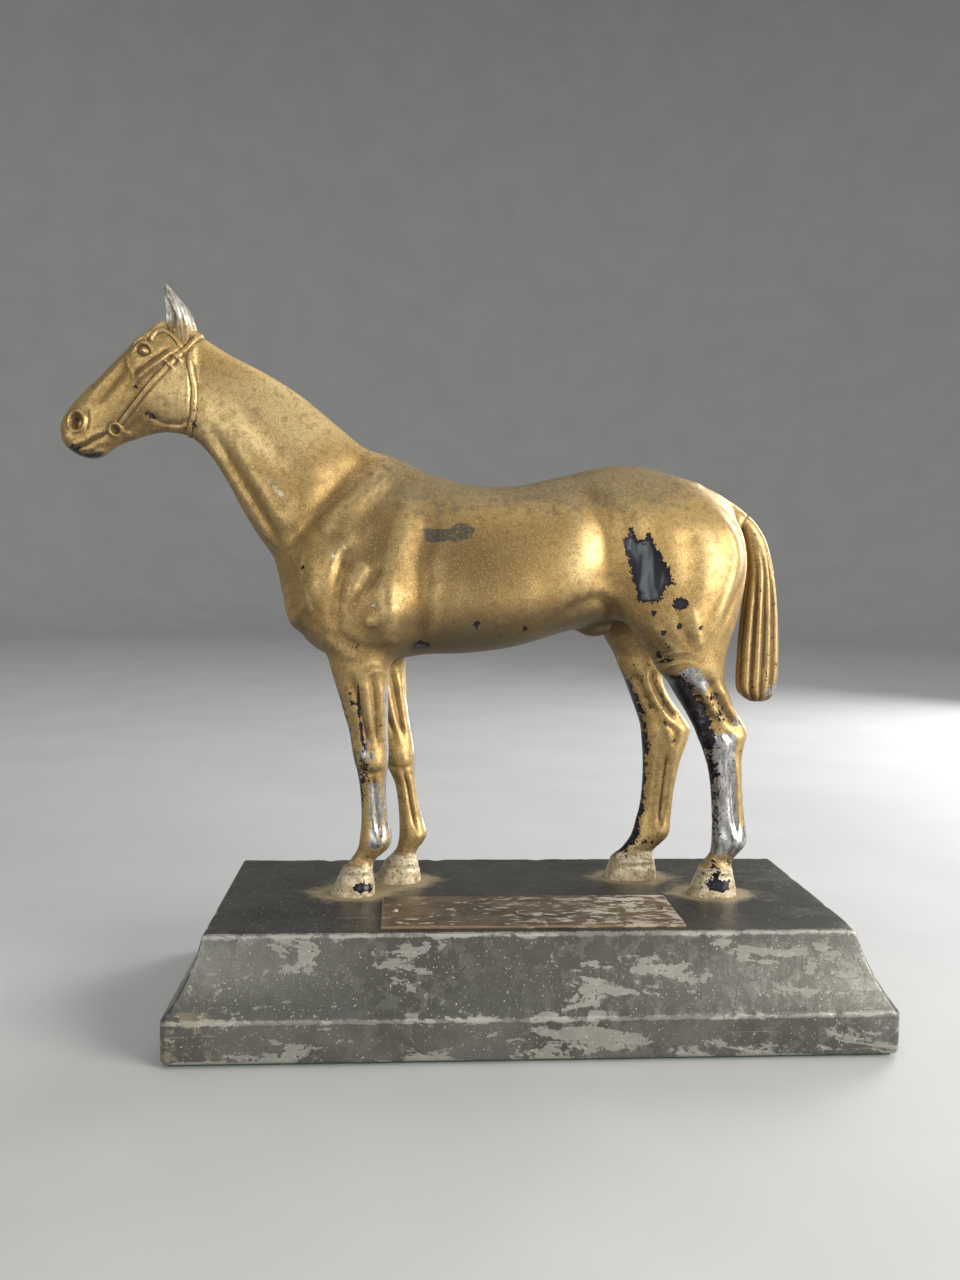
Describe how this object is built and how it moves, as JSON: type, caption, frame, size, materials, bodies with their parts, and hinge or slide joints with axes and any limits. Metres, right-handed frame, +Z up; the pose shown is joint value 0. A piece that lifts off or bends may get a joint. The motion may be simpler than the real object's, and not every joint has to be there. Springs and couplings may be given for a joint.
{
  "type": "horse statuette",
  "caption": "Standing bridled horse trophy figurine in hollow gilt castings, bolted to a rectangular cove-sided base with a nameplate.",
  "frame": {"origin": "centre of the felt's underside, on the surface the object stands on", "axes": "+Z up; +X along the base towards the tail, so the horse faces -X; +Y away from the nameplate side"},
  "size_m": [0.2875, 0.112, 0.2568],
  "materials": {
    "gilt_casting": "worn gold-bronze paint over dark patinated white metal",
    "bare_casting": "bare silvery white metal with traces of gold paint",
    "base_metal": "dull dark pewter patina with pale oxidised blotches",
    "plate_brass": "tarnished, with a pale crust",
    "pin_brass": "dull, domed",
    "felt": "dark green baize",
    "board": "plain fibreboard",
    "steel": "zinc plated"
  },
  "bodies": {
    "root": {"base_shell": "base_metal", "bottom_board": "board", "felt_pad": "felt", "nameplate": "plate_brass", "nameplate_pin_left": "pin_brass", "nameplate_pin_right": "pin_brass", "body_casting": "gilt_casting", "head_casting": "gilt_casting", "ear_left": "bare_casting", "ear_right": "bare_casting", "foreleg_left": "gilt_casting", "foreleg_right": "gilt_casting", "hindleg_left": "gilt_casting", "hindleg_right": "gilt_casting", "tail_casting": "gilt_casting", "stud_foreleg_left": "steel", "stud_foreleg_right": "steel", "stud_hindleg_left": "steel", "stud_hindleg_right": "steel", "washer_foreleg_left": "steel", "washer_foreleg_right": "steel", "washer_hindleg_left": "steel", "washer_hindleg_right": "steel", "nut_foreleg_left": "steel", "nut_foreleg_right": "steel", "nut_hindleg_left": "steel", "nut_hindleg_right": "steel"}
  },
  "joints": []
}
